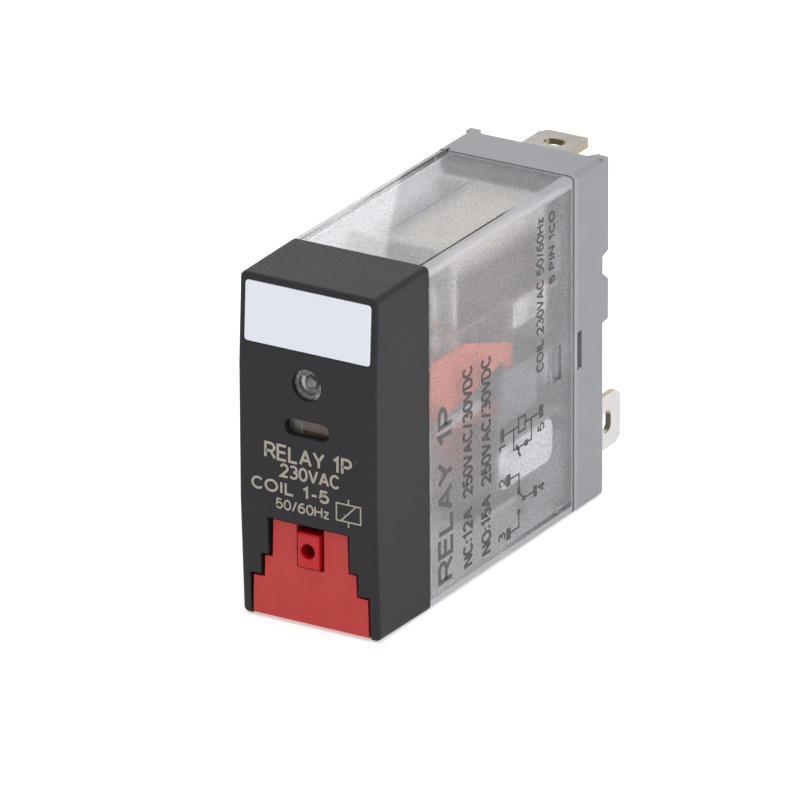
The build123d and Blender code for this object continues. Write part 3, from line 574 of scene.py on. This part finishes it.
def makeHousing(look):
    material, tree, shader, place = startMaterial("frosted_clear_polycarbonate", {
        "IOR": look["ior"], "Specular IOR Level": 0.5})
    where = place.outputs["Object"]
    high = np.array(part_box("clear_housing")[1]) / mm
    parts = addNode(tree, "ShaderNodeSeparateXYZ", links={"Vector": where})
    # for the width and the height: how far out a point lies, 1 in the outer skin, and 1 past
    # the inner face of the wall
    reach, skin, past = {}, {}, {}
    for axis, limit in (("X", high[0]), ("Z", high[2])):
        reach[axis] = addNode(tree, "ShaderNodeMath", {"operation": "ABSOLUTE"},
                              {0: parts.outputs[axis]})
        skin[axis] = addNode(tree, "ShaderNodeMath", {
            "operation": "GREATER_THAN", 1: (limit - look["skin"]) * mm},
            {0: reach[axis].outputs[0]})
        past[axis] = addNode(tree, "ShaderNodeMath", {
            "operation": "GREATER_THAN", 1: (limit - look["wall"]) * mm},
            {0: reach[axis].outputs[0]})
    outside = addNode(tree, "ShaderNodeMath", {"operation": "MAXIMUM"},
                      {0: skin["X"].outputs[0], 1: skin["Z"].outputs[0]})
    corner = addNode(tree, "ShaderNodeMath", {"operation": "MINIMUM"},
                     {0: past["X"].outputs[0], 1: past["Z"].outputs[0]})
    joint = addNode(tree, "ShaderNodeMath", {
        "operation": "GREATER_THAN", 1: (high[1] - look["jointRim"]) * mm}, {0: parts.outputs["Y"]})
    rim = addNode(tree, "ShaderNodeMath", {"operation": "MAXIMUM"},
                  {0: corner.outputs[0], 1: joint.outputs[0]})
    grain = addNode(tree, "ShaderNodeTexNoise", {
        "Scale": 1 / (look["speck"] * mm), "Detail": 2.0, "Roughness": 0.6}, {"Vector": where})
    rough = addNode(tree, "ShaderNodeMapRange", {"To Min": look["inner"], "To Max": look["outer"]},
                    {"Value": outside.outputs[0]})
    tree.links.new(rough.outputs[0], shader.inputs["Roughness"])
    clear = addNode(tree, "ShaderNodeMapRange", {"To Min": look["clear"], "To Max": look["rimClear"]},
                    {"Value": rim.outputs[0]})
    tree.links.new(clear.outputs[0], shader.inputs["Transmission Weight"])
    specks = addNode(tree, "ShaderNodeMapRange", {
        "From Min": look["speckFrom"], "From Max": look["speckTo"]}, {"Value": grain.outputs["Fac"]})
    tone = addNode(tree, "ShaderNodeMix", {
        "data_type": "RGBA", "A": linear(look["speckTint"]), "B": linear(look["tint"])},
        {"Factor": specks.outputs[0]})
    edged = addNode(tree, "ShaderNodeMix", {"data_type": "RGBA", "B": linear(look["rimTint"])},
                    {"Factor": rim.outputs[0], "A": tone.outputs["Result"]})
    # painted shade: over the inner corners the top and bottom skins get a dark line here and there,
    # standing in for the dark coil seen refracted through the corner
    bend = high[0] - look["wall"]
    innerEdge = addNode(tree, "ShaderNodeMath", {
        "operation": "GREATER_THAN", 1: (bend - look["paintedCornerIn"]) * mm}, {0: reach["X"].outputs[0]})
    outerEdge = addNode(tree, "ShaderNodeMath", {
        "operation": "LESS_THAN", 1: (bend + look["paintedCornerOut"]) * mm}, {0: reach["X"].outputs[0]})
    strip = addNode(tree, "ShaderNodeMath", {"operation": "MINIMUM"},
                    {0: innerEdge.outputs[0], 1: outerEdge.outputs[0]})
    line = addNode(tree, "ShaderNodeMath", {"operation": "MINIMUM"},
                   {0: strip.outputs[0], 1: skin["Z"].outputs[0]})
    patch = addNode(tree, "ShaderNodeTexNoise", {
        "Scale": 1 / (look["paintedCornerPatch"] * mm), "Detail": 1.0}, {"Vector": where})
    broken = addNode(tree, "ShaderNodeMapRange", {
        "From Min": look["paintedCornerFrom"], "From Max": look["paintedCornerTo"]}, {"Value": patch.outputs["Fac"]})
    paintedCornerMask = addNode(tree, "ShaderNodeMath", {"operation": "MULTIPLY"},
                   {0: line.outputs[0], 1: broken.outputs[0]})
    paintedCornerMix = addNode(tree, "ShaderNodeMix", {"data_type": "RGBA", "B": linear(look["paintedCornerTint"])},
                     {"Factor": paintedCornerMask.outputs[0], "A": edged.outputs["Result"]})
    tree.links.new(paintedCornerMix.outputs["Result"], shader.inputs["Base Color"])
    # the grain is etched into the inner faces only
    etched = addNode(tree, "ShaderNodeMath", {"operation": "SUBTRACT", 0: 1.0}, {1: outside.outputs[0]})
    height = addNode(tree, "ShaderNodeMath", {"operation": "MULTIPLY"},
                     {0: grain.outputs["Fac"], 1: etched.outputs[0]})
    bump = addNode(tree, "ShaderNodeBump", {"Strength": look["bump"], "Distance": look["depth"] * mm},
                   {"Height": height.outputs[0]})
    tree.links.new(bump.outputs[0], shader.inputs["Normal"])
    return material


wear("clear_housing", makeHousing(housingLook))
print("materials made")

# pale laser marking on black plastic: warm grey, dull, a little uneven
laserMark = moulded("laser_foamed_marking", {
    "base": "#8f887e", "shade": "#a39b90", "dust": "#c6bfb4", "grain": 0.12, "cloud": 0.5,
    "rough": 0.6, "spread": 0.08, "bump": 0.4, "depth": 0.02, "dustGap": 0.5,
    "dustSize": 0.1, "dustShare": 0.3})
# dark grey pad printing on the clear wall: even and dull
padInk = moulded("dark_grey_pad_print", {
    "base": "#2a282a", "shade": "#353335", "dust": "#6b696b", "grain": 0.12, "cloud": 0.6,
    "rough": 0.5, "spread": 0.08, "bump": 0.3, "depth": 0.01, "dustGap": 0.5,
    "dustSize": 0.1, "dustShare": 0.3})
# the large lettering is printed thinner, so the wall shows through it as a lighter grey
paleInk = moulded("thin_grey_pad_print", {
    "base": "#3a373a", "shade": "#494649", "dust": "#6f6d6f", "grain": 0.12, "cloud": 0.8,
    "rough": 0.5, "spread": 0.08, "bump": 0.3, "depth": 0.01, "dustGap": 0.5,
    "dustSize": 0.1, "dustShare": 0.3})
# the line where the two halves of the mould met: a hair of dull grey plastic
mouldWitness = moulded("polycarbonate_witness_line", {
    "base": "#77767a", "shade": "#838286", "dust": "#a9a8aa", "grain": 0.1, "cloud": 0.8,
    "rough": 0.5, "spread": 0.05, "bump": 0.2, "depth": 0.01, "dustGap": 0.5,
    "dustSize": 0.1, "dustShare": 0.2})

# a printed surface: its origin in mm, its reading direction, its letter-up direction and the
# way it faces
wallHigh = np.array(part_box("clear_housing")[1]) / mm
capLow = np.array(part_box("front_cap")[0]) / mm
topFace = {"origin": (0, 0, wallHigh[2]), "right": (1, 0, 0), "up": (0, 1, 0), "out": (0, 0, 1)}
frontFace = {"origin": (0, capLow[1], 0), "right": (1, 0, 0), "up": (0, 0, 1), "out": (0, -1, 0)}
sideFace = {"origin": (wallHigh[0], 0, 0), "right": (0, 0, 1), "up": (0, -1, 0), "out": (1, 0, 0)}

# ink, in mm: its lift off the wall, its thickness, and the step between the layers that
# strokes lie in, so that none cross at one height; gap and space are in the letters' units
inkLook = {"lift": 0.006, "thick": 0.03, "layer": 0.003, "layers": 5, "gap": 0.22, "space": 0.42}


def faceMatrix(face, lift):
    # columns: right, up, out, and the origin lifted off the surface
    right, up, out = (Vector(face[k]) for k in ("right", "up", "out"))
    turn = Matrix((right, up, out)).transposed().to_4x4()
    return Matrix.Translation((Vector(face["origin"]) + out * lift) * mm) @ turn


def ribbon(path, width, closed, thick):
    # flat bar along a path of (u, v) points: at each point the rim is p +- width / 2 times
    # the mitre (n1 + n2) / (1 + n1 . n2) of the two normals that meet there
    p = np.array(path, float)
    d = np.diff(np.vstack([p, p[:1]]) if closed else p, axis=0)
    d /= np.linalg.norm(d, axis=1, keepdims=True)
    n = np.stack([-d[:, 1], d[:, 0]], 1)
    before = np.roll(n, 1, 0) if closed else np.vstack([n[:1], n])
    after = n if closed else np.vstack([n, n[-1:]])
    mitre = (before + after) / (1 + (before * after).sum(1))[:, None]
    rim = np.stack([p + mitre * width / 2, p - mitre * width / 2], 1)
    k = len(p)
    verts = np.zeros((k, 4, 3))
    verts[:, 0, :2], verts[:, 1, :2] = rim[:, 0], rim[:, 1]
    verts[:, 2, :2], verts[:, 3, :2] = rim[:, 1], rim[:, 0]
    verts[:, :2, 2], verts[:, 2:, 2] = thick / 2, -thick / 2
    i = np.arange(k if closed else k - 1)[:, None]
    j = (i + 1) % k
    c = np.arange(4)[None, :]
    quads = np.stack([j * 4 + c, j * 4 + (c + 1) % 4, i * 4 + (c + 1) % 4, i * 4 + c], -1).reshape(-1, 4)
    if not closed:
        quads = np.vstack([quads, [[0, 1, 2, 3], [k * 4 - 1, k * 4 - 2, k * 4 - 3, k * 4 - 4]]])
    return verts.reshape(-1, 3), quads


def layMark(name, bars, face, material):
    # all bars of one mark, each a path with its width and whether it closes on itself,
    # become one mesh, laid a hair above its surface
    verts, faces, count = [], [], 0
    for index, (path, width, closed) in enumerate(bars):
        points, quads = ribbon(path, width, closed, inkLook["thick"])
        points[:, 2] += inkLook["layer"] * (index % inkLook["layers"])
        verts.append(points)
        faces.append(quads + count)
        count += len(points)
    mesh = bpy.data.meshes.new(name)
    mesh.from_pydata((np.vstack(verts) * mm).tolist(), [], np.vstack(faces).tolist())
    mesh.transform(faceMatrix(face, inkLook["lift"]))
    obj = bpy.data.objects.new(name, mesh)
    scene.collection.objects.link(obj)
    wear(obj, material)
    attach(obj, "relay_body")


def bow(cx, cy, rx, ry, start, stop, steps=13):
    # (cx + rx cos t, cy + ry sin t) for t from start to stop degrees
    t = np.radians(np.linspace(start, stop, steps))
    return np.stack([cx + rx * np.cos(t), cy + ry * np.sin(t)], 1).tolist()


# plain drafting letters: each is its width and its strokes in a box one unit high
letters = {
    "A": (0.7, [[(0, 0), (0.35, 1)], [(0.35, 1), (0.7, 0)], [(0.12, 0.32), (0.58, 0.32)]]),
    "C": (0.68, [bow(0.36, 0.5, 0.36, 0.5, 42, 318, 19)]),
    "D": (0.64, [[(0, 0), (0, 1)] + bow(0.26, 0.5, 0.38, 0.5, 90, -90) + [(0, 0)]]),
    "E": (0.56, [[(0.56, 1), (0, 1), (0, 0), (0.56, 0)], [(0, 0.52), (0.52, 0.52)]]),
    "H": (0.64, [[(0, 0), (0, 1)], [(0.64, 0), (0.64, 1)], [(0, 0.52), (0.64, 0.52)]]),
    "I": (0.16, [[(0.08, 0), (0.08, 1)]]),
    "L": (0.52, [[(0, 1), (0, 0), (0.52, 0)]]),
    "N": (0.64, [[(0, 0), (0, 1)], [(0, 1), (0.64, 0)], [(0.64, 0), (0.64, 1)]]),
    "O": (0.78, [bow(0.39, 0.5, 0.39, 0.5, 0, 345, 24)]),
    "P": (0.58, [[(0, 0), (0, 1)] + bow(0.3, 0.73, 0.28, 0.27, 90, -90) + [(0, 0.46)]]),
    "R": (0.62, [[(0, 0), (0, 1)] + bow(0.32, 0.73, 0.28, 0.27, 90, -90) + [(0, 0.46)],
                 [(0.34, 0.46), (0.64, 0)]]),
    "T": (0.62, [[(0, 1), (0.62, 1)], [(0.31, 1), (0.31, 0)]]),
    "V": (0.66, [[(0, 1), (0.33, 0)], [(0.33, 0), (0.66, 1)]]),
    "Y": (0.66, [[(0, 1), (0.33, 0.44)], [(0.33, 0.44), (0.66, 1)], [(0.33, 0.44), (0.33, 0)]]),
    "z": (0.44, [[(0, 0.68), (0.44, 0.68)], [(0.44, 0.68), (0, 0)], [(0, 0), (0.46, 0)]]),
    "0": (0.58, [bow(0.29, 0.5, 0.29, 0.5, 0, 345, 24)]),
    "1": (0.4, [[(0.06, 0.76), (0.3, 1), (0.3, 0)]]),
    "2": (0.58, [bow(0.29, 0.7, 0.28, 0.3, 165, -30, 11) + [(0.02, 0), (0.58, 0)]]),
    "3": (0.56, [bow(0.26, 0.75, 0.26, 0.25, 150, -80, 12), bow(0.26, 0.27, 0.3, 0.27, 95, -150, 14)]),
    "4": (0.58, [[(0.42, 0), (0.42, 1), (0.0, 0.28), (0.58, 0.28)]]),
    "5": (0.56, [[(0.5, 1), (0.09, 1), (0.04, 0.5)] + bow(0.27, 0.32, 0.29, 0.32, 120, -150, 13)]),
    "6": (0.57, [bow(0.285, 0.3, 0.285, 0.3, 0, 345, 20), bow(0.44, 0.38, 0.44, 0.62, 78, 180, 9)]),
    ":": (0.12, [[(0.06, 0.06), (0.06, 0.2)], [(0.06, 0.56), (0.06, 0.7)]]),
    "/": (0.36, [[(0, -0.04), (0.36, 1.04)]]),
    "-": (0.34, [[(0, 0.42), (0.34, 0.42)]]),
}
ringLetters = "O06"  # the first stroke of these closes on itself


def writeMark(name, look, face, material):
    # letters set side by side from the spot on, squeezed to the given width, sizes in mm
    text, stroke = look["text"], look["stroke"]
    gap, space = inkLook["gap"], inkLook["space"]
    reach = sum(space if c == " " else letters[c][0] + gap for c in text) - gap
    stretch = (look["width"] - stroke) / reach
    tall = look["height"] - stroke
    bars, x = [], 0.0
    for c in text:
        if c == " ":
            x += space
            continue
        wide, strokes = letters[c]
        for number, path in enumerate(strokes):
            points = np.array(path)
            points = np.stack([look["spot"][0] + stroke / 2 + (points[:, 0] + x) * stretch,
                               look["spot"][1] + stroke / 2 + points[:, 1] * tall], 1)
            bars.append((points.tolist(), stroke, c in ringLetters and number == 0))
        x += wide + gap
    layMark(name, bars, face, material)


# front marking: the kind and its poles, the coil voltage, the coil pins and the coil symbol
frontMarks = {
    "mark_relay": {"text": "RELAY 1P", "spot": (-3.9, -0.65), "height": 1.42, "width": 8.0, "stroke": 0.22},
    "mark_volts": {"text": "230VAC", "spot": (-2.5, -2.0), "height": 1.2, "width": 5.5, "stroke": 0.2},
    "mark_coil": {"text": "COIL 1-5", "spot": (-5.1, -3.45), "height": 1.1, "width": 7.1, "stroke": 0.2},
    "mark_mains": {"text": "50/60Hz", "spot": (-2.9, -4.72), "height": 0.9, "width": 4.9, "stroke": 0.14},
}
for name, look in frontMarks.items():
    writeMark(name, look, frontFace, laserMark)
symbol = {
    "box": [(2.65, -4.55), (4.85, -4.55), (4.85, -3.1), (2.65, -3.1)], "stroke": 0.12,
    "lines": [[(3.05, -4.55), (4.45, -3.1)], [(3.75, -3.1), (3.75, -2.65)], [(3.75, -4.55), (3.75, -5.0)]],
}
strokes = [(symbol["box"], symbol["stroke"], True)]
strokes += [(path, symbol["stroke"], False) for path in symbol["lines"]]
layMark("mark_symbol", strokes, frontFace, laserMark)

# side printing: u runs up the long side, v towards the cap
sideMarks = {
    "print_type": {"text": "RELAY 1P", "spot": (-12.9, 24.4),
                   "height": 2.3, "width": 15.0, "stroke": 0.4, "ink": paleInk},
    "print_closed": {"text": "NC:12A  250VAC/30VDC", "spot": (-12.9, 21.35),
                     "height": 1.5, "width": 17.1, "stroke": 0.25, "ink": padInk},
    "print_open": {"text": "NO:15A  250VAC/30VDC", "spot": (-12.9, 18.5),
                   "height": 1.5, "width": 16.9, "stroke": 0.25, "ink": padInk},
    "print_coil": {"text": "COIL 230VAC 50/60Hz", "spot": (-0.3, 10.25),
                   "height": 1.1, "width": 13.1, "stroke": 0.17, "ink": padInk},
    "print_pole": {"text": "5 PIN 1CO", "spot": (6.6, 8.5),
                   "height": 0.9, "width": 6.2, "stroke": 0.15, "ink": padInk},
}
for name, look in sideMarks.items():
    writeMark(name, look, sideFace, look["ink"])

# wiring diagram: short thick bars for the blades and contacts, each with its two ends and its
# width, thin wires, and the coil's box with a diode branch beside it
diagram = {
    "bars": [((-3.15, 16.72), (-4.2, 16.72), 0.55), ((-3.15, 10.62), (-4.25, 10.62), 0.6),
             ((-7.3, 15.8), (-8.3, 15.8), 0.6), ((-11.9, 15.8), (-12.9, 15.8), 0.6),
             ((-9.75, 11.6), (-10.7, 11.6), 0.5), ((-9.0, 14.15), (-9.6, 14.15), 0.42),
             ((-10.85, 14.15), (-11.25, 14.15), 0.4), ((-10.0, 13.35), (-10.4, 13.35), 0.4),
             ((-5.25, 14.6), (-5.85, 14.1), 0.3), ((-5.3, 13.0), (-5.8, 13.0), 0.5),
             ((-5.95, 14.2), (-6.4, 13.9), 0.25)],
    "wires": [[(-3.74, 16.5), (-3.74, 14.2)], [(-3.74, 13.15), (-3.74, 10.9)],
              [(-3.74, 14.95), (-5.55, 14.95), (-5.55, 12.2), (-3.74, 12.2)],
              [(-7.8, 15.5), (-7.8, 14.15), (-9.1, 14.15)],
              [(-12.4, 15.5), (-12.4, 14.15), (-11.2, 14.15)],
              [(-9.5, 14.05), (-10.2, 13.35), (-10.2, 11.9)]],
    "coil": [(-3.1, 14.2), (-4.3, 14.2), (-4.3, 13.15), (-3.1, 13.15)],
    "wire": 0.13, "coilLine": 0.15,
}
strokes = [([first, last], wide, False) for first, last, wide in diagram["bars"]]
strokes += [(path, diagram["wire"], False) for path in diagram["wires"]]
strokes.append((diagram["coil"], diagram["coilLine"], True))
layMark("print_diagram", strokes, sideFace, padInk)
pinSpots = {
    "1": (-5.1, 16.2), "5": (-5.4, 10.15), "2": (-8.05, 16.2), "3": (-12.7, 16.3), "4": (-10.55, 10.1),
}
for pin, spot in pinSpots.items():
    look = {"text": pin, "spot": spot, "height": 1.05, "width": 0.72, "stroke": 0.16}
    writeMark("print_pin_" + pin, look, sideFace, padInk)

# fine witness line of the split mould along the top
mouldLine = {"ends": [(-0.35, -21.5), (-0.35, -6.3)], "width": 0.06}
layMark("mould_line", [(mouldLine["ends"], mouldLine["width"], False)], topFace, mouldWitness)
print("printing made")
